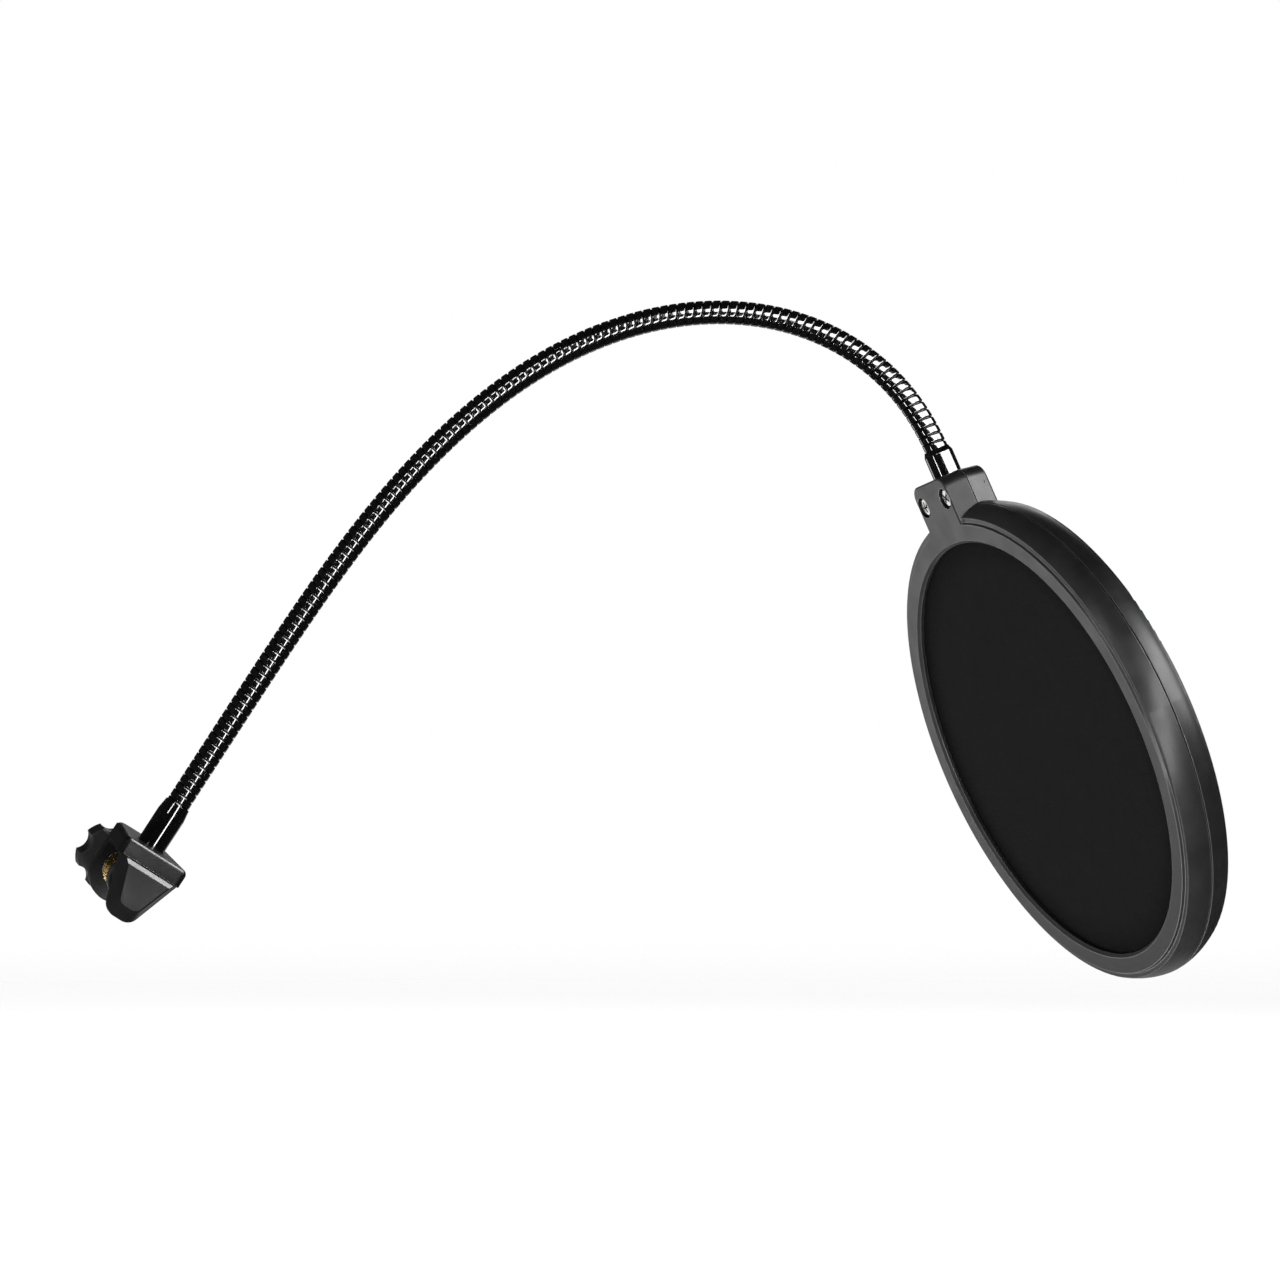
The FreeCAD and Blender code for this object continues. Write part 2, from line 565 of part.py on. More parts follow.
# ---- screen ----
def block_outline(half, top, y):
    """The outline of the block above the ring, its upper corners rounded."""
    return symmetric_wire([(half, top), (half, BLOCK_FOOT)], y, [BLOCK_CORNER, 0])


def swivel_cavity():
    """Room for the bush, the washer and the clip, shared by the two halves of the block."""
    bush_r, bush_top, mouth_r = BUSH_R + 0.03, BUSH_TOP + 0.03, FERRULE_R + 0.2
    return about_stem([
        (0, CAVITY_FOOT), (CAVITY_R, CAVITY_FOOT), (CAVITY_R, BUSH_FOOT), (bush_r, BUSH_FOOT),
        (bush_r, bush_top), (mouth_r, bush_top), (mouth_r, BLOCK_TOP + 1), (0, BLOCK_TOP + 1),
    ])


def front_ring():
    """The front half: face, outer wall, and the tab that takes the two screws."""
    profile = [
        (WINDOW_R, LIP), (WINDOW_R + LIP, 0), (RING_FACE_R, 0), (RING_FACE_R + 0.5, LIP),
        (STEP_R, LIP), (STEP_R + 0.2, LIP + 0.2), (RING_MAX_R, SEAM_FRONT), (SOCKET_R, SEAM_FRONT),
        (SOCKET_R, SOCKET_Y), (FRONT_WALL_R, SOCKET_Y), (FRONT_WALL_R, FACE_THICK),
        (WINDOW_R, FACE_THICK),
    ]
    rim = turned(profile, [(5, FRONT_BULGE)])
    tab = Part.Face(block_outline(BLOCK_HALF, BLOCK_TOP, 0)).extrude(Vector(0, SEAM_FRONT, 0))
    front_edges = edges_where(
        tab, lambda middle, edge: abs(middle.y) < 1e-6 and middle.z > BLOCK_FOOT + 0.5
    )
    tab = tab.makeFillet(TAB_EDGE_ROUND, front_edges)
    tab = tab.cut([
        ring(0, RING_FACE_R - 0.2, Vector(0, -1, 0), RING_DEPTH),
        ring(0, FRONT_WALL_R + 0.9, Vector(0, FACE_THICK, 0), RING_DEPTH),
        ring(0, SOCKET_R, Vector(0, SOCKET_Y, 0), RING_DEPTH),
    ])
    tools = [swivel_cavity()]
    for side in (-1, 1):
        start = Vector(side * SCREW_X, -1, SCREW_Z)
        tools.append(ring(0, SEAT_R, start, 1 + SEAT_Y))
        tools.append(ring(0, M3_HOLE_R, start, RING_DEPTH))
    return rim.fuse(tab).cut(tools).removeSplitter()


def rear_ring():
    """The rear half: outer wall, the tongue that snaps into the front half, and the block's back."""
    back = RING_DEPTH
    profile = [
        (WINDOW_R, back - FACE_THICK), (WINDOW_R, back - LIP), (WINDOW_R + LIP, back),
        (BACK_FACE_R, back), (BACK_EDGE_R, back - 1.0), (RING_MAX_R, SEAM_BACK),
        (TONGUE_R, SEAM_BACK), (TONGUE_R, TONGUE_Y), (REAR_WALL_R, TONGUE_Y),
        (REAR_WALL_R, back - FACE_THICK),
    ]
    rim = turned(profile, [(3, (BACK_EDGE_BULGE_R, back - 0.3)), (4, REAR_BULGE)])
    near = block_outline(BLOCK_HALF, BLOCK_TOP, SEAM_BACK - 0.2)
    far = block_outline(BLOCK_BACK_HALF, BLOCK_TOP - BLOCK_BACK_DROP, back)
    block = Part.makeLoft([near, far], True, True)
    rear_edges = edges_where(
        block, lambda middle, edge: abs(middle.y - back) < 1e-6 and middle.z > BLOCK_FOOT + 0.5
    )
    block = block.makeFillet(BLOCK_EDGE_ROUND, rear_edges)
    block = block.cut(ring(0, REAR_WALL_R + 1.1, Vector(0, -1, 0), RING_DEPTH + 2))
    tools = [swivel_cavity()]
    for side in (-1, 1):
        hole_start = Vector(side * SCREW_X, SCREW_HOLE_Y, SCREW_Z)
        hole_depth = SCREW_END_Y + SCREW_HOLE_SPARE - SCREW_HOLE_Y
        tools.append(ring(0, M3_THREAD_R, hole_start, hole_depth))
    return rim.fuse(block).cut(tools).removeSplitter()


def front_mesh():
    return ring(0, HOOP_R, Vector(0, FACE_THICK + MESH_GAP, 0), MESH_THICK)


def rear_mesh():
    start = RING_DEPTH - FACE_THICK - MESH_GAP - MESH_THICK
    return ring(0, HOOP_R, Vector(0, start, 0), MESH_THICK)


def front_hoop():
    """A tension hoop: the cloth is stretched over it and gripped against the ring's face."""
    start, end = FACE_THICK + MESH_THICK + 0.05, MID_DEPTH - 0.4
    return turned([
        (HOOP_INNER_R, start + HOOP_CHAMFER), (HOOP_INNER_R + HOOP_CHAMFER, start),
        (HOOP_R, start), (HOOP_R, end), (HOOP_INNER_R, end),
    ])


def rear_hoop():
    return front_hoop().mirror(Vector(0, MID_DEPTH, 0), Y_AXIS)


def tab_screw(side):
    """A cheese-head screw with a domed top and a cross recess."""
    rim, crown, end = SCREW_HEAD_R, SCREW_CROWN_Y, SCREW_END_Y
    profile = [
        (0, crown), (rim - 0.5, crown + 0.25), (rim, crown + 0.7), (rim, SEAT_Y),
        (M3_R, SEAT_Y), (M3_R, end - 1.0), (M3_R - 1.0, end), (0, end),
    ]
    screw = turned(profile).cut(cross_recess(1.7, 0.65, 1.5))
    screw.rotate(Vector(0, 0, 0), Y_AXIS, 20 + 25 * side)
    screw.translate(Vector(side * SCREW_X, 0, SCREW_Z))
    return screw


def tab_screws():
    return Part.makeCompound([tab_screw(-1), tab_screw(1)])


# ---- the whole object ----
CLAMP_PARTS = [
    clamp_body, fixed_jaw_pad, thread_insert, foot_ferrule, ferrule_screw,
    pressure_cup, cup_pad, pad_clip, thumbscrew, thumb_knob, knob_cap,
]
HEAD_PARTS = [
    head_ferrule, swivel_clip, swivel_bush, friction_washer,
    front_ring, rear_ring, front_mesh, rear_mesh, front_hoop, rear_hoop, tab_screws,
]


def save(name, shape):
    shape.exportStep(f"parts/{name}.step")


os.makedirs("parts", exist_ok=True)
for make in CLAMP_PARTS:
    save(make.__name__, make().transformed(CLAMP_PLACE.toMatrix(), True))
for make in HEAD_PARTS:
    save(make.__name__, make().transformed(HEAD_PLACE.toMatrix(), True))
for number in range(LINKS):
    save(f"outer_coil_{number:02d}", outer_coil(number))
    save(f"inner_coil_{number:02d}", inner_coil(number))
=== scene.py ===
import json
import math

import bmesh
import bpy
import numpy as np
from mathutils import Matrix, Vector


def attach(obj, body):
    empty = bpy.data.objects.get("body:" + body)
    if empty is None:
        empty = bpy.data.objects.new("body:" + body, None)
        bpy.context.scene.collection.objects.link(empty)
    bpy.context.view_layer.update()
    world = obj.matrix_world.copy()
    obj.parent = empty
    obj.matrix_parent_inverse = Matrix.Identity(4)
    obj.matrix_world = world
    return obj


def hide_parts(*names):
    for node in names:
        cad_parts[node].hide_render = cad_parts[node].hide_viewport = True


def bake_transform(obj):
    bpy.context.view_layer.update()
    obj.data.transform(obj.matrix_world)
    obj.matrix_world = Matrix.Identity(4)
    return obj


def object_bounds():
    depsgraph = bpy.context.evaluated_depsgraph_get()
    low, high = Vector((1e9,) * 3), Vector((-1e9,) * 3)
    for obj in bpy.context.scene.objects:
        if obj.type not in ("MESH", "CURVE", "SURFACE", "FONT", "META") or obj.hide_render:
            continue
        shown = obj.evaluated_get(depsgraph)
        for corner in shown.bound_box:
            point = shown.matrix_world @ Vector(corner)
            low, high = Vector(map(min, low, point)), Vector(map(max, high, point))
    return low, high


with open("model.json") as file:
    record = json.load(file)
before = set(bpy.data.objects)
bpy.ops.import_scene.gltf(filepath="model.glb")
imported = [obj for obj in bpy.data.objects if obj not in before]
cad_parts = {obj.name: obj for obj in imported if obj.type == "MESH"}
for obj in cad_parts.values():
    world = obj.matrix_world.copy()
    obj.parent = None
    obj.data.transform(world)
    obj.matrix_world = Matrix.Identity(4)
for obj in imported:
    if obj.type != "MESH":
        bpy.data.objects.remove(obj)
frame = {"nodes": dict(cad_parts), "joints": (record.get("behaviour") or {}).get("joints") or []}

# The looks of a studio pop filter: a screw clamp, a gooseneck and a twin-layer screen.
# Lengths are in metres. MM turns a size in millimetres into metres.

MM = 0.001
CAD_LOW, CAD_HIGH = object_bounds()
UP = Vector((0, 0, 1))
SIDEWAYS = Vector((0, 1, 0))       # the gooseneck lies in the plane across this

# ---- gooseneck ----
COIL_PITCH = 2.6 * MM
COIL_RIM = 3.65 * MM               # outside of the wedge wire
COIL_CORE = 2.3 * MM               # its edge, between the turns of the inner spring
WIRE_EDGE = 0.15 * MM              # height of the bevel beside that edge
WIRE_HALF_WIDTH = 1.2 * MM
WIRE_FLANK = 0.24 * MM             # half the wire's width at its edge
# the wire's crown: share of the half width, and drop from the rim in millimetres
CROWN = [(1.0, 0.5), (0.97, 0.26), (0.9, 0.1), (0.8, 0.03), (0.66, 0.005), (0.32, 0.001), (0.0, 0.0)]
SPRING_RADIUS = 2.35 * MM
SPRING_WIRE = 0.72 * MM            # half the spring wire's thickness
IN_FERRULE = 5.0 * MM              # how far the wires run on into the ferrules
WEDGE_STEPS, SPRING_STEPS = 48, 28    # cross-sections per turn

# ---- cloth ----
CLOTH_RINGS, CLOTH_SPOKES = 36, 144
CLOTH_DISH = 0.5 * MM              # how far the middle hangs back
PLEATS = 48
PLEAT_HEIGHT = 0.05 * MM
CLOTH_SKIN = 0.02 * MM             # how far the cloth stays inside the CAD disc's faces
WEAVE_PITCH = 0.55 * MM
# painted shade: over these radii the cloth's colour darkens towards the ring
CLOTH_PAINTED_SHADE_START, CLOTH_PAINTED_SHADE_END = 58 * MM, 67.4 * MM    # where the cloth darkens, near the ring

# ---- screw and pads ----
THREAD_PITCH = 1.0 * MM
THREAD_DEPTH = 0.61 * MM
THREAD_RUNOUT = 1.2 * MM           # over which the thread fades out at its ends
THREAD_STEPS = 10                  # rings of points per turn of thread
THREAD_SLOPE, THREAD_CREST = 1.25, 0.12        # its profile: steepness, and what the crest cuts off
JOURNAL_RADIUS = 2.0 * MM          # the plain end that turns in the cup
CLIP_GROOVE = 1.35 * MM, 0.3 * MM, 1.1 * MM    # its radius, start and end from the tip
HEAD_FLAT = 5.0 * MM               # half the width over the flats of the head in the knob
HEAD_HEIGHT = 4.0 * MM
HEAD_SETBACK = 1.0 * MM            # plain shaft between the thread and the head
SHAFT_IN_KNOB = 1.0 * MM           # the shaft is round at least this far into the knob
HEAD_CHAMFER = 0.5 * MM
END_DOT = 0.3 * MM                 # radius that the screw's flat ends close to
CHAMFER = 0.3 * MM
STEP = 0.06 * MM                   # length along the screw that a turned step takes
SHOULDER_DROP = 0.6 * MM           # from the thread's rim, and from the cup to the thread
RIB_PITCH = 1.15 * MM
RIB_DEPTH = 0.28 * MM
GROOVE_PITCH = 1.7 * MM            # of the round grooves in the cup's pad
PAD_ROWS, PAD_COLUMNS = 104, 15
PAD_EDGE = 0.25 * MM               # how far the jaw pad's edges roll back
PAD_EDGE_LENGTH = 0.5 * MM         # over which its ends roll back
PAD_TRIM = 0.02 * MM               # how far it stays inside the CAD pad at its ends

# ---- stage ----
LENS = 200.0
FRAME_FILL = 0.90                  # share of the picture's width that the object takes
FLOOR_DROP = 90 * MM
FLOOR_RADIUS = 2.4
FLOOR_GLOW = 0.82                  # light the floor gives back of the white surroundings


# ---- reading the frame ----
def joint_named(name):
    return next(joint for joint in frame["joints"] if joint["name"] == name)


def axis_of(joint):
    return Vector(joint["axis"]).normalized()


def place_of(joint):
    return Vector(joint["pos_m"])


def vertices_of(node):
    mesh = frame["nodes"][node].data
    found = np.zeros(len(mesh.vertices) * 3, np.float32)
    mesh.vertices.foreach_get("co", found)
    return found.reshape(-1, 3).astype(float)


def reach(node, axis):
    """Lowest and highest place of a CAD node along an axis."""
    along = vertices_of(node) @ np.array(axis)
    return along.min(), along.max()


def middle_of(node, axes):
    """Centre of a CAD node's box along three axes."""
    centre = Vector((0, 0, 0))
    for axis in axes:
        low, high = reach(node, axis)
        centre += axis * (low + high) / 2
    return centre


CLAMP_Y = axis_of(joint_named("pad_travel"))
CLAMP_Z = SIDEWAYS.cross(CLAMP_Y).normalized()
CLAMP_X = CLAMP_Y.cross(CLAMP_Z)
CLAMP_AXES = (CLAMP_X, CLAMP_Y, CLAMP_Z)
SWIVEL = joint_named("screen_swivel")
HEAD_Z = axis_of(SWIVEL)
if HEAD_Z.z < 0:
    HEAD_Z = -HEAD_Z


def flat_axis(node):
    """The axis that a thin CAD node is thinnest along, in the screen's swivelled frame."""
    points = vertices_of(node)
    points = points - points.mean(0)
    _, _, rows = np.linalg.svd(points, full_matrices=False)
    return Vector(rows[2]).normalized()


HEAD_Y = flat_axis("front_mesh")
if HEAD_Y.x < 0:
    HEAD_Y = -HEAD_Y
HEAD_X = HEAD_Y.cross(HEAD_Z).normalized()
HEAD_AXES = (HEAD_X, HEAD_Y, HEAD_Z)


# ---- mesh helpers ----
def new_piece(name, vertices, faces):
    mesh = bpy.data.meshes.new(name)
    mesh.from_pydata([tuple(v) for v in vertices], [], faces)
    mesh.validate()
    mesh.polygons.foreach_set("use_smooth", [True] * len(mesh.polygons))
    mesh.update()
    piece = bpy.data.objects.new(name, mesh)
    bpy.context.scene.collection.objects.link(piece)
    return piece


def sharpen(piece, degrees):
    """Keeps edges sharper than an angle crisp under smooth shading."""
    limit = math.radians(degrees)
    shape = bmesh.new()
    shape.from_mesh(piece.data)
    for edge in shape.edges:
        edge.smooth = len(edge.link_faces) == 2 and edge.calc_face_angle() < limit
    shape.to_mesh(piece.data)
    shape.free()


def face_outwards(piece):
    shape = bmesh.new()
    shape.from_mesh(piece.data)
    bmesh.ops.recalc_face_normals(shape, faces=shape.faces)
    shape.to_mesh(piece.data)
    shape.free()


def tube_walls(rows, columns):
    """Quads of an open tube of rows x columns points."""
    faces = []
    for row in range(rows - 1):
        for column in range(columns):
            following = (column + 1) % columns
            here, there = row * columns, (row + 1) * columns
            faces.append((here + column, here + following, there + following, there + column))
    return faces


def tube_faces(rows, columns):
    """Faces of a tube of rows x columns points, with its two ends capped."""
    ends = [tuple(reversed(range(columns))), tuple(range((rows - 1) * columns, rows * columns))]
    return tube_walls(rows, columns) + ends


# ---- gooseneck's centre line ----
NECK_JOINTS = [j for j in frame["joints"] if j["name"].startswith(("neck_curl", "neck_sway"))]
NECK_BODIES = ["clamp"] + [j["child"] for j in NECK_JOINTS]
LINKS = len(NECK_BODIES)


def ferrule_mouth(node, axis, on_axis):
    """The point of the axis through on_axis where a ferrule ends."""
    return on_axis + axis * (reach(node, axis)[1] - on_axis.dot(axis))


FOOT_MOUTH = ferrule_mouth("foot_ferrule", CLAMP_Z, place_of(NECK_JOINTS[0]))
HEAD_MOUTH = ferrule_mouth("head_ferrule", HEAD_Z, place_of(SWIVEL))


class NeckLine:
    """A smooth curve through the hinges, straight beyond the ferrules' mouths."""

    def __init__(self, knots, first_way, last_way):
        self.knots = np.array([tuple(k) for k in knots])
        chords = np.linalg.norm(np.diff(self.knots, axis=0), axis=1)
        self.link = float(chords[0])
        count = len(knots)
        system, sides = np.zeros((count, count)), np.zeros((count, 3))
        system[0, 0] = system[-1, -1] = 1
        sides[0], sides[-1] = first_way, last_way
        for i in range(1, count - 1):
            system[i, i - 1:i + 2] = 1, 4, 1
            sides[i] = 3 * (self.knots[i + 1] - self.knots[i - 1]) / self.link
        self.ways = np.linalg.solve(system, sides)
        self.length = self.link * (count - 1)

    def at(self, distances):
        """Centres and unit directions at distances from the foot's mouth."""
        places = np.asarray(distances, float) / self.link
        spans = np.clip(places.astype(int), 0, len(self.knots) - 2)
        t = np.clip(places - spans, 0, 1)[:, None]
        p, q = self.knots[spans], self.knots[spans + 1]
        v, w = self.ways[spans] * self.link, self.ways[spans + 1] * self.link
        centres = ((2 * t - 3) * t * t + 1) * p + ((t - 2) * t + 1) * t * v
        centres += (3 - 2 * t) * t * t * q + (t - 1) * t * t * w
        ways = 6 * (t * t - t) * (p - q) + (3 * t * t - 4 * t + 1) * v + (3 * t * t - 2 * t) * w
        ways /= np.linalg.norm(ways, axis=1)[:, None]
        beyond = np.minimum(places, 0) + np.maximum(places - (len(self.knots) - 1), 0)
        return centres + ways * (beyond * self.link)[:, None], ways


NECK = NeckLine(
    [FOOT_MOUTH] + [place_of(j) for j in NECK_JOINTS] + [HEAD_MOUTH], CLAMP_Z, -HEAD_Z
)


def wedge_section():
    """(radius, offset along the neck) round the wedge wire: a broad crown with rounded shoulders."""
    right = [(COIL_RIM - drop * MM, WIRE_HALF_WIDTH * share) for share, drop in CROWN]
    left = [(radius, -offset) for radius, offset in reversed(right[:-1])]
    edge = COIL_CORE + WIRE_EDGE
    return right + left + [(edge, -WIRE_FLANK), (COIL_CORE, 0.0), (edge, WIRE_FLANK)]


def round_section(steps=8):
    angles = [2 * math.pi * i / steps for i in range(steps)]
    return [
        (SPRING_RADIUS + SPRING_WIRE * math.cos(a), SPRING_WIRE * math.sin(a)) for a in angles
    ]


def coiled_wire(name, section, start, end, shift, per_turn):
    """Wire of a section coiled round the neck from one distance to another."""
    turns = (end - start) / COIL_PITCH
    count = round(turns * per_turn)
    distances = np.linspace(start, end, count + 1)
    centres, ways = NECK.at(distances + shift)
    sideways = np.array(SIDEWAYS)
    outwards = np.cross(ways, sideways)
    angles = 2 * np.pi * distances / COIL_PITCH
    around = outwards * np.cos(angles)[:, None] + sideways * np.sin(angles)[:, None]
    rings = [centres + around * radius + ways * offset for radius, offset in section]
    vertices = np.stack(rings, axis=1).reshape(-1, 3)
    piece = new_piece(name, vertices, tube_faces(count + 1, len(section)))
    face_outwards(piece)
    return piece


def build_coil(name, kind, section, shift, per_turn, look):
    """One continuous coil, cut in the middle of each link and bent over each hinge."""
    pieces = []
    middles = [(i + 0.5) * NECK.link for i in range(LINKS)]
    starts = [-IN_FERRULE] + middles
    ends = middles + [NECK.length + IN_FERRULE]
    for number, (start, end) in enumerate(zip(starts, ends)):
        piece = coiled_wire(f"{name}_{number:02d}", section, start, end, shift, per_turn)
        sharpen(piece, 60)
        piece.data.materials.append(look)
        if 0 < number < LINKS:
            (low, high), _ = NECK.at([start, end])
            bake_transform(piece)
        else:
            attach(piece, NECK_BODIES[0 if number == 0 else -1])
        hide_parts(f"{kind}_{min(number, LINKS - 1):02d}")
        pieces.append(piece)
    return pieces


# ---- materials ----
class Look:
    """A node material. Sizes of grain and marks are in metres."""

    def __init__(self, name, colour, roughness, **inputs):
        self.material = bpy.data.materials.new(name)
        self.material.use_nodes = True
        self.nodes = self.material.node_tree.nodes
        self.links = self.material.node_tree.links
        self.shader = self.nodes["Principled BSDF"]
        self.place = self.add("ShaderNodeTexCoord").outputs["Object"]
        self.shader.inputs["Base Color"].default_value = (*colour, 1)
        self.shader.inputs["Roughness"].default_value = roughness
        for key, value in inputs.items():
            self.shader.inputs[key.replace("_", " ").title().replace("Ior", "IOR")].default_value = value

    def add(self, kind, **values):
        node = self.nodes.new(kind)
        for key, value in values.items():
            if hasattr(node, key):
                setattr(node, key, value)
            else:
                node.inputs[key].default_value = value
        return node

    def join(self, output, node, socket):
        self.links.new(output, node.inputs[socket])

    def noise(self, size, detail=2.0, stretch=None):
        """Smooth noise whose lumps are about size across, drawn out along stretch."""
        node = self.add("ShaderNodeTexNoise", Scale=1 / size, Detail=detail)
        source = self.place
        if stretch:
            mapping = self.add("ShaderNodeMapping", Scale=stretch)
            self.join(source, mapping, "Vector")
            source = mapping.outputs["Vector"]
        self.join(source, node, "Vector")
        return node.outputs["Fac"]

    def spread(self, source, low, high, start=0.3, end=0.7):
        """Maps start..end of a source to low..high."""
        node = self.add("ShaderNodeMapRange")
        for key, value in zip(("From Min", "From Max", "To Min", "To Max"), (start, end, low, high)):
            node.inputs[key].default_value = value
        self.join(source, node, "Value")
        return node.outputs["Result"]

    def math(self, operation, first, second=None):
        node = self.add("ShaderNodeMath", operation=operation)
        for index, value in enumerate((first, second)):
            if value is None:
                continue
            if isinstance(value, (int, float)):
                node.inputs[index].default_value = value
            else:
                self.links.new(value, node.inputs[index])
        return node.outputs["Value"]

    def tint(self, amount, dark, light):
        """Colours the surface between two tones."""
        node = self.add("ShaderNodeMix", data_type="RGBA")
        self.join(amount, node, "Factor")
        node.inputs[6].default_value = (*dark, 1)
        node.inputs[7].default_value = (*light, 1)
        self.join(node.outputs[2], self.shader, "Base Color")

    def edge(self, radius):
        """1 on edges that are sharper than radius, 0 on flats, and the rounded normal."""
        bevel = self.add("ShaderNodeBevel", samples=8, Radius=radius)
        geometry = self.add("ShaderNodeNewGeometry")
        dot = self.add("ShaderNodeVectorMath", operation="DOT_PRODUCT")
        self.links.new(bevel.outputs["Normal"], dot.inputs[0])
        self.links.new(geometry.outputs["Normal"], dot.inputs[1])
        return self.spread(dot.outputs["Value"], 1.0, 0.0, 0.86, 0.99), bevel.outputs["Normal"]

    def bump(self, height, distance, strength=1.0, normal=None, coat=False):
        node = self.add("ShaderNodeBump", Strength=strength, Distance=distance)
        self.join(height, node, "Height")
        if normal is not None:
            self.join(normal, node, "Normal")
        self.join(node.outputs["Normal"], self.shader, "Normal")
        if coat:
            self.join(node.outputs["Normal"], self.shader, "Coat Normal")
        return node.outputs["Normal"]


def grey(value):
    return (value, value, value)


def moulded(name, shade, rough, grain=0.24 * MM, shine=0.5, painted_edge_highlight=2.0, rounding=0.28 * MM):
    """Black moulded plastic with a fine spark-eroded grain. Its sharp edges get a painted highlight, a
    lighter base colour, and are a little glossier.
    """
    look = Look(name, grey(shade), rough, Specular_Ior_Level=shine)
    fine, cloudy = look.noise(grain, 3), look.noise(9 * MM)
    edge_wear_and_highlight, rounded = look.edge(rounding)
    tone = look.math("ADD", look.math("MULTIPLY", fine, 0.45), look.math("MULTIPLY", cloudy, 0.35))
    plain = look.spread(tone, 0.7, 1.3, 0.25, 0.55)
    # painted highlight: the base colour is lightened along sharp edges
    lit = look.math("ADD", plain, look.math("MULTIPLY", edge_wear_and_highlight, painted_edge_highlight))
    look.tint(look.math("DIVIDE", lit, 1.3 + painted_edge_highlight), grey(0.0), grey(shade * (1.3 + painted_edge_highlight)))
    gloss = look.math("SUBTRACT", look.spread(cloudy, rough - 0.05, rough + 0.05),
                      look.math("MULTIPLY", edge_wear_and_highlight, 0.12))
    look.join(gloss, look.shader, "Roughness")
    look.bump(fine, 0.025 * MM, 0.55, rounded)
    return look.material


def gloss_black(name, rough=0.1):
    """Black lacquer over metal: deep, with faint orange peel and rub marks."""
    look = Look(name, grey(0.003), rough, Coat_Weight=1.0, Coat_Roughness=0.04, Coat_Ior=1.7)
    peel = look.noise(1.6 * MM)
    rubbed = look.noise(0.5 * MM, 4, (1, 1, 0.25))
    _, rounded = look.edge(0.22 * MM)
    look.tint(look.spread(rubbed, 0, 1, 0.45, 0.8), grey(0.0015), grey(0.005))
    look.join(look.spread(rubbed, rough, rough + 0.14, 0.4, 0.75), look.shader, "Roughness")
    look.bump(peel, 0.012 * MM, 0.5, rounded, coat=True)
    return look.material


def plated(name, colour, rough, scale=0.35 * MM):
    """Bright plated or turned metal with fine marks."""
    look = Look(name, colour, rough, Metallic=1.0)
    marks = look.noise(scale, 4, (1, 0.2, 1))
    _, rounded = look.edge(0.12 * MM)
    dark = [c * 0.88 for c in colour]
    look.tint(look.spread(marks, 0, 1, 0.35, 0.65), dark, colour)
    look.join(look.spread(marks, rough * 0.8, rough * 1.3), look.shader, "Roughness")
    look.bump(marks, 0.003 * MM, 0.4, rounded)
    return look.material


def rubber(name):
    look = Look(name, grey(0.012), 0.75)
    fine = look.noise(0.18 * MM, 3)
    dusty = look.noise(2.5 * MM, 3)
    look.tint(look.spread(dusty, 0, 1), grey(0.009), grey(0.024))
    look.join(look.spread(fine, 0.62, 0.85), look.shader, "Roughness")
    look.bump(fine, 0.03 * MM, 0.7)
    return look.material


def nylon(name):
    look = Look(name, (0.62, 0.60, 0.54), 0.4, Subsurface_Weight=0.2, Subsurface_Scale=1 * MM)
    cloudy = look.noise(1.2 * MM)
    look.tint(look.spread(cloudy, 0, 1), (0.55, 0.53, 0.47), (0.68, 0.66, 0.60))
    look.bump(cloudy, 0.02 * MM, 0.3)
    return look.material


def woven(name):
    """Fine black plain weave. The UV map holds the cloth's own plane, in metres."""
    look = Look(name, grey(0.006), 0.7, Specular_Ior_Level=0.12, Sheen_Weight=0.02)
    plane = look.add("ShaderNodeSeparateXYZ")
    look.join(look.add("ShaderNodeUVMap", uv_map="plane").outputs["UV"], plane, "Vector")
    waves = []
    for channel in ("X", "Y"):
        phase = look.math("MULTIPLY", plane.outputs[channel], math.pi / WEAVE_PITCH)
        waves.append(look.math("SINE", phase))
    warp, weft = [look.math("ABSOLUTE", wave) for wave in waves]
    over = look.math("GREATER_THAN", look.math("MULTIPLY", *waves), 0.0)
    warp_over = look.math("MULTIPLY", warp, look.math("ADD", look.math("MULTIPLY", over, 0.6), 0.4))
    weft_over = look.math("MULTIPLY", weft, look.math("SUBTRACT", 1.0, look.math("MULTIPLY", over, 0.6)))
    height = look.math("MAXIMUM", warp_over, weft_over)
    drawn = look.noise(3 * MM, 2, (1, 1, 0.12))
    tone = look.math("ADD", look.math("MULTIPLY", height, 0.7), look.math("MULTIPLY", drawn, 0.3))
    # painted shade: the cloth's colour is darkened towards the ring, where the ring's window shades it
    length = look.add("ShaderNodeVectorMath", operation="LENGTH")
    look.links.new(plane.inputs["Vector"].links[0].from_socket, length.inputs[0])
    painted_rim_shade = look.spread(length.outputs["Value"], 1.0, 0.3, CLOTH_PAINTED_SHADE_START, CLOTH_PAINTED_SHADE_END)
    tone = look.math("MULTIPLY", look.spread(tone, 0.2, 1, 0.2, 0.85), painted_rim_shade)
    look.tint(tone, grey(0.0), grey(0.0045))
    look.bump(height, 0.12 * MM, 0.6)
    return look.material


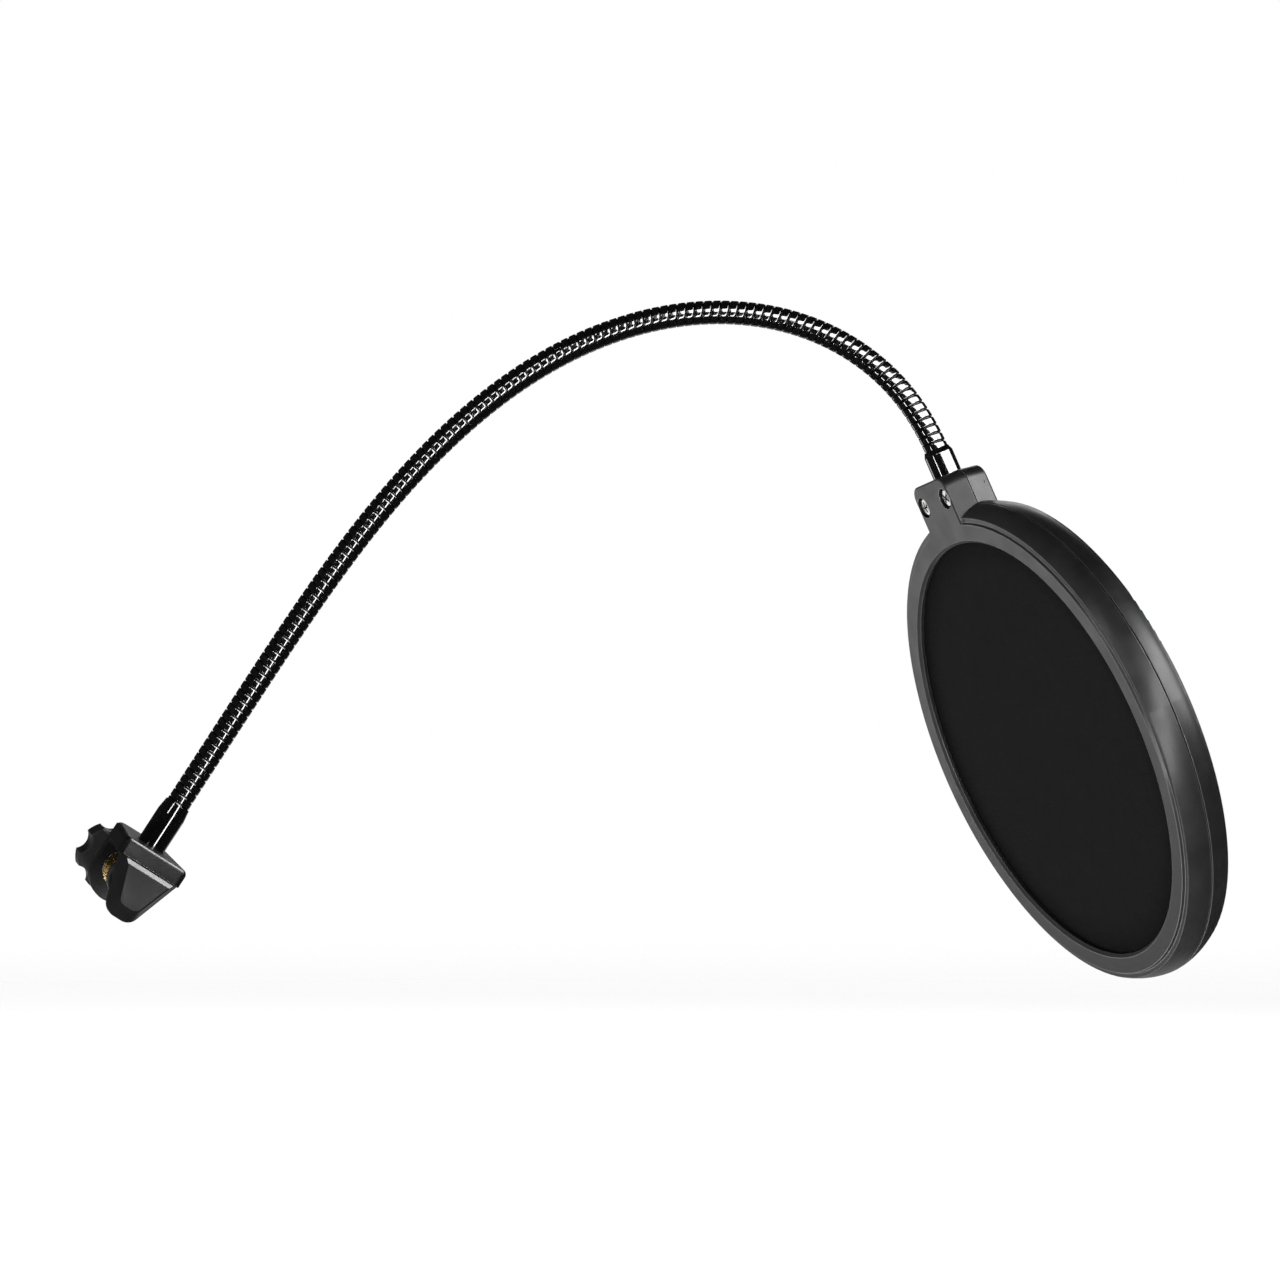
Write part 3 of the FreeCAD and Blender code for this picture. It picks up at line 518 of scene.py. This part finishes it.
def paper_floor():
    """Pale floor that fades out into the white surroundings, and is open from below."""
    look = Look("pale_floor", grey(0.86), 0.6, Specular_Ior_Level=0.1)
    look.shader.inputs["Emission Color"].default_value = (1, 1, 1, 1)
    look.shader.inputs["Emission Strength"].default_value = FLOOR_GLOW
    cloudy = look.noise(60 * MM)
    look.tint(look.spread(cloudy, 0, 1), grey(0.855), grey(0.865))
    look.bump(look.noise(1.5 * MM, 3), 0.05 * MM, 0.2)
    clear = look.add("ShaderNodeBsdfTransparent")
    mixed = look.add("ShaderNodeMixShader")
    distance = look.add("ShaderNodeVectorMath", operation="LENGTH")
    look.links.new(look.place, distance.inputs[0])
    fade = look.spread(distance.outputs["Value"], 0, 1, FLOOR_RADIUS * 0.25, FLOOR_RADIUS * 0.98)
    fade = look.math("MAXIMUM", fade, look.add("ShaderNodeNewGeometry").outputs["Backfacing"])
    look.join(fade, mixed, "Fac")
    look.links.new(look.shader.outputs["BSDF"], mixed.inputs[1])
    look.links.new(clear.outputs["BSDF"], mixed.inputs[2])
    look.links.new(mixed.outputs["Shader"], look.nodes["Material Output"].inputs["Surface"])
    return look.material


def dress(material, *nodes):
    """Gives CAD nodes a material."""
    for node in nodes:
        for place in frame["nodes"][node].material_slots:
            place.material = material


def settle(piece, look, body, node):
    """Gives a piece its look, and puts it on a body in place of a CAD node."""
    piece.data.materials.append(look)
    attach(piece, body)
    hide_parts(node)


# ---- soft pieces ----
def build_cloth(name, node, side):
    """A taut cloth disc, stretched over its hoop: faintly pleated at the rim, dished in the middle."""
    centre = middle_of(node, HEAD_AXES)
    low, high = reach(node, HEAD_Y)
    thickness = high - low
    radius = (reach(node, HEAD_Z)[1] - reach(node, HEAD_Z)[0]) / 2
    outwards = [i / CLOTH_RINGS for i in range(1, CLOTH_RINGS + 1)]
    inwards = [1 - i / CLOTH_RINGS for i in range(CLOTH_RINGS)]
    rows = [(1, share) for share in outwards] + [(-1, share) for share in inwards]
    vertices, plane = [], []
    for face, share in rows:
        for j in range(CLOTH_SPOKES):
            angle = 2 * math.pi * j / CLOTH_SPOKES
            pleat = PLEAT_HEIGHT * math.cos(PLEATS * angle) * share ** 12 * (1 - share) * 8
            dish = CLOTH_DISH * (1 - share * share) * side
            half = (thickness / 2 - CLOTH_SKIN) * (1 if share < 1 else 0.6)
            u, v = radius * share * math.cos(angle), radius * share * math.sin(angle)
            vertices.append(centre + HEAD_X * u + HEAD_Z * v + HEAD_Y * (dish + pleat + face * half))
            plane.append((u, v))
    first_centre, last_centre = len(vertices), len(vertices) + 1
    for face in (1, -1):
        vertices.append(centre + HEAD_Y * (CLOTH_DISH * side + face * (thickness / 2 - CLOTH_SKIN)))
        plane.append((0.0, 0.0))
    faces = tube_walls(len(rows), CLOTH_SPOKES)
    last = (len(rows) - 1) * CLOTH_SPOKES
    for j in range(CLOTH_SPOKES):
        k = (j + 1) % CLOTH_SPOKES
        faces.append((first_centre, k, j))
        faces.append((last_centre, last + j, last + k))
    piece = new_piece(name, vertices, faces)
    layer = piece.data.uv_layers.new(name="plane")
    for loop in piece.data.loops:
        layer.data[loop.index].uv = plane[loop.vertex_index]
    face_outwards(piece)
    sharpen(piece, 60)
    settle(piece, CLOTH_LOOK, "screen", node)


def hull_width(points, heights):
    """Half width of a convex outline, from (across, up) points, at each height."""
    order = np.argsort(points[:, 1])
    ups, acrosses = points[order, 1], np.abs(points[order, 0])
    widths = []
    for height in heights:
        best = 0.0
        below, above = ups <= height + 1e-9, ups >= height - 1e-9
        for u0, a0 in zip(ups[below], acrosses[below]):
            span = ups[above] - u0
            share = np.where(span > 1e-9, (height - u0) / np.where(span > 1e-9, span, 1), 0)
            best = max(best, float(np.max(a0 + (acrosses[above] - a0) * share)))
        widths.append(best)
    return widths


def build_jaw_pad():
    """The fixed jaw's rubber pad, ribbed across its gripping face."""
    node = "fixed_jaw_pad"
    points = vertices_of(node) @ np.array([tuple(a) for a in CLAMP_AXES]).T
    lows, highs = points.min(0), points.max(0)
    middle = (lows[0] + highs[0]) / 2
    outline = np.column_stack([points[:, 0] - middle, points[:, 2]])
    heights = np.linspace(lows[2] + PAD_TRIM, highs[2] - PAD_TRIM, PAD_ROWS)
    widths = hull_width(outline, heights)
    vertices = []
    for height, width in zip(heights, widths):
        phase = 2 * math.pi * (height - lows[2]) / RIB_PITCH
        rib = RIB_DEPTH * (0.5 - 0.5 * math.cos(phase)) ** 2
        near_end = min(height - lows[2], highs[2] - height) / PAD_EDGE_LENGTH
        soft = PAD_EDGE * (1 - min(near_end, 1)) ** 2
        for face in (1, -1):
            for i in range(PAD_COLUMNS):
                share = (i / (PAD_COLUMNS - 1) * 2 - 1) * face
                spread = math.copysign(abs(share) ** 0.7, share)
                roll = PAD_EDGE * max(0, (abs(spread) - 0.9) / 0.1) ** 2
                depth = highs[1] - rib - soft - roll if face > 0 else lows[1] + 0.3 * (soft + roll)
                vertices.append(
                    CLAMP_X * (middle + width * spread) + CLAMP_Y * depth + CLAMP_Z * height
                )
    piece = new_piece("jaw_pad_ribbed", vertices, tube_faces(PAD_ROWS, 2 * PAD_COLUMNS))
    face_outwards(piece)
    sharpen(piece, 50)
    settle(piece, RUBBER_LOOK, "clamp", node)


def lathe(name, axis, side, centre, outline, around=96, radius_at=None):
    """A closed solid turned about axis. outline holds (radius, place along axis) from end to end."""
    across = axis.cross(side)
    vertices = []
    for radius, along in outline:
        for j in range(around):
            angle = 2 * math.pi * j / around
            reached = radius_at(radius, along, angle) if radius_at else radius
            way = side * math.cos(angle) + across * math.sin(angle)
            vertices.append(centre + way * reached + axis * along)
    piece = new_piece(name, vertices, tube_faces(len(outline), around))
    face_outwards(piece)
    sharpen(piece, 35)
    return piece


def build_cup_pad():
    """The pressure cup's rubber disc, with round grooves."""
    node = "cup_pad"
    low, high = reach(node, CLAMP_Y)
    radius = (reach(node, CLAMP_Z)[1] - reach(node, CLAMP_Z)[0]) / 2
    centre = middle_of(node, CLAMP_AXES)
    centre -= CLAMP_Y * centre.dot(CLAMP_Y)
    outline, steps = [], 64
    for i in range(3, steps):
        reached = radius * i / steps
        wave = math.sin(2 * math.pi * reached / GROOVE_PITCH)
        groove = RIB_DEPTH * max(0.0, wave) ** 0.7
        outline.append((reached, low + groove))
    outline += [(radius * 0.99, low + 0.08 * MM), (radius, low + 0.3 * MM)]
    outline += [(radius, high - 0.15 * MM), (radius * 0.985, high - 0.01 * MM)]
    piece = lathe("cup_pad_grooved", CLAMP_Y, CLAMP_X, centre, outline)
    settle(piece, RUBBER_LOOK, "pressure_pad", node)


def build_screw():
    """The thumbscrew, with its thread cut, from the journal in the cup to the knob."""
    node = "thumbscrew"
    points = vertices_of(node) @ np.array([tuple(a) for a in CLAMP_AXES]).T
    low, high = points[:, 1].min(), points[:, 1].max()
    knob_low = reach("thumb_knob", CLAMP_Y)[0]
    cup_high = reach("pressure_cup", CLAMP_Y)[1]
    centre = place_of(joint_named("thumbscrew_turn"))
    centre -= CLAMP_Y * centre.dot(CLAMP_Y)
    rim = np.hypot(*(points[:, [0, 2]] - np.array([centre.dot(CLAMP_X), centre.dot(CLAMP_Z)])).T)
    shaft = points[:, 1] < knob_low + SHAFT_IN_KNOB
    major = float(rim[shaft].max())
    start, head = cup_high + SHOULDER_DROP, high - HEAD_HEIGHT
    end = head - HEAD_SETBACK
    groove, groove_start, groove_end = CLIP_GROOVE
    outline = [
        (END_DOT, low), (JOURNAL_RADIUS - CHAMFER, low), (JOURNAL_RADIUS, low + groove_start),
        (groove, low + groove_start + STEP), (groove, low + groove_end - STEP),
        (JOURNAL_RADIUS, low + groove_end), (JOURNAL_RADIUS, cup_high + STEP),
        (major - SHOULDER_DROP, cup_high + STEP + 0.02 * MM),
    ]
    steps = round((end - start) / THREAD_PITCH * THREAD_STEPS)
    outline += [(major, start + (end - start) * i / steps) for i in range(steps + 1)]
    hexagon = HEAD_FLAT / math.cos(math.pi / 6)
    outline += [(major, head), (hexagon, head + 0.01 * MM), (hexagon, high - HEAD_CHAMFER)]
    outline += [(hexagon - HEAD_CHAMFER, high), (END_DOT, high)]

    def threaded(radius, along, angle):
        if along > head and radius > major:
            sector = (angle + math.pi / 6) % (math.pi / 3) - math.pi / 6
            return radius * math.cos(math.pi / 6) / math.cos(sector)
        if not start <= along <= end:
            return radius
        phase = (along / THREAD_PITCH - angle / (2 * math.pi)) % 1
        depth = min(1, max(0, abs(phase - 0.5) * 2 * THREAD_SLOPE - THREAD_CREST))
        fade = min(1, (along - start) / THREAD_RUNOUT, (end - along) / THREAD_RUNOUT)
        return radius - THREAD_DEPTH * depth * max(0.0, fade)

    piece = lathe("screw_threaded", CLAMP_Y, CLAMP_X, centre, outline, 60, threaded)
    settle(piece, STEEL_LOOK, "thumbscrew", node)


# ---- the object ----
# the ring's edges get a strong painted highlight in their colour, for bright lines along the window's
# edge and the parting line
RING_LOOK = moulded("ring_plastic", 0.022, 0.36, painted_edge_highlight=9.0, rounding=0.45 * MM)
CLAMP_LOOK = moulded("clamp_plastic", 0.006, 0.36, 0.3 * MM, 0.14, 1.5)
KNOB_LOOK = moulded("knob_plastic", 0.014, 0.45, 0.35 * MM, 0.4, 1.0)
HOOP_LOOK = moulded("hoop_plastic", 0.01, 0.6, shine=0.3)
WIRE_LOOK = gloss_black("lacquered_wire", 0.1)
FERRULE_LOOK = gloss_black("lacquered_ferrule", 0.06)
STEEL_LOOK = plated("nickelled_steel", (0.72, 0.71, 0.69), 0.2)
SPRING_LOOK = plated("blued_spring_steel", (0.05, 0.05, 0.055), 0.35)
BRASS_LOOK = plated("turned_brass", (0.75, 0.53, 0.22), 0.25)
RUBBER_LOOK = rubber("pad_rubber")
NYLON_LOOK = nylon("bush_nylon")
CLOTH_LOOK = woven("mesh_weave")

dress(RING_LOOK, "front_ring", "rear_ring")
dress(CLAMP_LOOK, "clamp_body")
dress(KNOB_LOOK, "thumb_knob", "knob_cap", "pressure_cup")
dress(HOOP_LOOK, "front_hoop", "rear_hoop")
dress(FERRULE_LOOK, "foot_ferrule", "head_ferrule")
dress(STEEL_LOOK, "tab_screws", "ferrule_screw")
dress(SPRING_LOOK, "pad_clip", "swivel_clip", "friction_washer")
dress(BRASS_LOOK, "thread_insert")
dress(NYLON_LOOK, "swivel_bush")

HOSE = build_coil(
    "hose_wire", "outer_coil", wedge_section(), 0.0, WEDGE_STEPS, WIRE_LOOK
)
build_coil(
    "core_spring", "inner_coil", round_section(), COIL_PITCH / 2, SPRING_STEPS,
    SPRING_LOOK,
)
build_cloth("front_cloth", "front_mesh", 1)
build_cloth("rear_cloth", "rear_mesh", -1)
build_jaw_pad()
build_cup_pad()
build_screw()


# ---- stage, light and camera ----
CENTRE = (CAD_LOW + CAD_HIGH) / 2


def build_floor():
    floor = bpy.data.meshes.new("floor")
    shape = bmesh.new()
    bmesh.ops.create_circle(shape, cap_ends=True, radius=FLOOR_RADIUS, segments=96)
    shape.to_mesh(floor)
    shape.free()
    stage = bpy.data.objects.new("floor", floor)
    stage.location = (CENTRE.x, CENTRE.y, CAD_LOW.z - FLOOR_DROP)
    bpy.context.scene.collection.objects.link(stage)
    floor.materials.append(paper_floor())
    stage.visible_glossy = stage.visible_shadow = False


def build_surroundings(seen=1.0, mirrored=0.02, lit=0.05):
    """White surroundings that stay dim in reflections, so that black pieces stay black."""
    world = bpy.data.worlds.new("surroundings")
    bpy.context.scene.world = world
    world.use_nodes = True
    nodes, links = world.node_tree.nodes, world.node_tree.links
    rays = nodes.new("ShaderNodeLightPath")
    sides = []
    for ray, strength in (("Is Camera Ray", seen - lit), ("Is Glossy Ray", mirrored - lit)):
        share = nodes.new("ShaderNodeMath")
        share.operation = "MULTIPLY"
        share.inputs[1].default_value = strength
        links.new(rays.outputs[ray], share.inputs[0])
        sides.append(share)
    total = nodes.new("ShaderNodeMath")
    total.operation = "ADD"
    links.new(sides[0].outputs[0], total.inputs[0])
    links.new(sides[1].outputs[0], total.inputs[1])
    base = nodes.new("ShaderNodeMath")
    base.operation = "ADD"
    base.inputs[1].default_value = lit
    links.new(total.outputs[0], base.inputs[0])
    links.new(base.outputs[0], nodes["Background"].inputs["Strength"])
    nodes["Background"].inputs["Color"].default_value = (1, 1, 1, 1)


def soft_light(name, way, distance, size, brightness, along, use, only=(), target=CENTRE):
    """An area light that faces a target from a direction, its long side along an axis. It is used
    either as fill, which lights surfaces but is not mirrored in them, or as a highlight, which is
    only mirrored. It can be kept to some pieces only."""
    light = bpy.data.lights.new(name, "AREA")
    light.shape = "RECTANGLE"
    light.size, light.size_y = size
    light.energy = brightness * math.pi * size[0] * size[1]
    lamp = bpy.data.objects.new(name, light)
    back = Vector(way).normalized()
    across = Vector(along).cross(back).normalized()
    turn = Matrix((across, back.cross(across), back)).transposed()
    lamp.matrix_world = Matrix.Translation(target + back * distance) @ turn.to_4x4()
    lamp.visible_camera = False
    lamp.visible_glossy = use != "fill"
    lamp.visible_diffuse = use != "highlight"
    if only:
        receivers = bpy.data.collections.new(name)
        for piece in only:
            receivers.objects.link(piece)
        lamp.light_linking.receiver_collection = receivers
    bpy.context.scene.collection.objects.link(lamp)


def build_camera():
    camera = bpy.data.objects.new("camera", bpy.data.cameras.new("camera"))
    camera.data.lens = LENS
    width = (CAD_HIGH.x - CAD_LOW.x) / FRAME_FILL
    distance = width / 2 / (camera.data.sensor_width / 2 / LENS)
    camera.location = CENTRE - SIDEWAYS * distance
    camera.rotation_euler = (math.pi / 2, 0, 0)
    camera.data.clip_end = 50
    bpy.context.scene.collection.objects.link(camera)
    bpy.context.scene.camera = camera


GLOSSY_PIECES = HOSE + [frame["nodes"]["head_ferrule"]]
build_floor()
build_surroundings()
soft_light("front_strip", (0.33, -0.92, -0.1), 1.1, (0.14, 1.5), 18.0, CLAMP_Z, "highlight")
soft_light("upper_strip", (-0.33, -0.84, 0.42), 1.1, (0.1, 0.3), 14.0, (0.76, 0, 0.65), "highlight")
soft_light("right_panel", (0.82, -0.25, 0.45), 1.2, (0.85, 0.5), 10.0, UP, "highlight")
soft_light("low_back_panel", (0.1, 0.85, -0.5), 1.2, (0.7, 0.6), 0.45, UP, "highlight")
soft_light("high_back_panel", (0.15, 0.9, 0.37), 1.2, (0.7, 0.36), 1.6, UP, "highlight")
soft_light("hose_panel", (0.38, -0.84, 0.38), 1.2, (1.05, 0.6), 12.0, UP, "highlight", GLOSSY_PIECES)
soft_light("hose_strip", (-0.57, -0.707, -0.41), 1.1, (0.06, 0.4), 24.0, (-0.585, 0, 0.81), "highlight",
           GLOSSY_PIECES)
soft_light("face_panel", (-0.65, 0.71, -0.28), 1.3, (0.4, 0.4), 1.5, UP, "highlight")
soft_light("screw_panel", (-0.65, 0.71, -0.28), 1.3, (0.34, 0.34), 2.0, UP, "highlight",
           [frame["nodes"]["tab_screws"]])
soft_light("ledge_panel", SIDEWAYS.reflect((CLAMP_Z - CLAMP_Y).normalized()), 1.1, (0.36, 0.36), 110.0,
           SIDEWAYS, "highlight", [frame["nodes"]["clamp_body"]], middle_of("fixed_jaw_pad", CLAMP_AXES))
soft_light("left_fill", (-0.8, -0.33, -0.5), 1.3, (1.1, 0.7), 14.0, UP, "fill")
soft_light("back_fill", (0.2, 0.8, 0.55), 1.3, (1.0, 0.8), 4.5, UP, "fill")
soft_light("top_fill", (0.1, -0.1, 1.0), 1.2, (0.8, 0.8), 1.0, SIDEWAYS, "fill")
build_camera()
bpy.context.scene.view_settings.view_transform = "Standard"
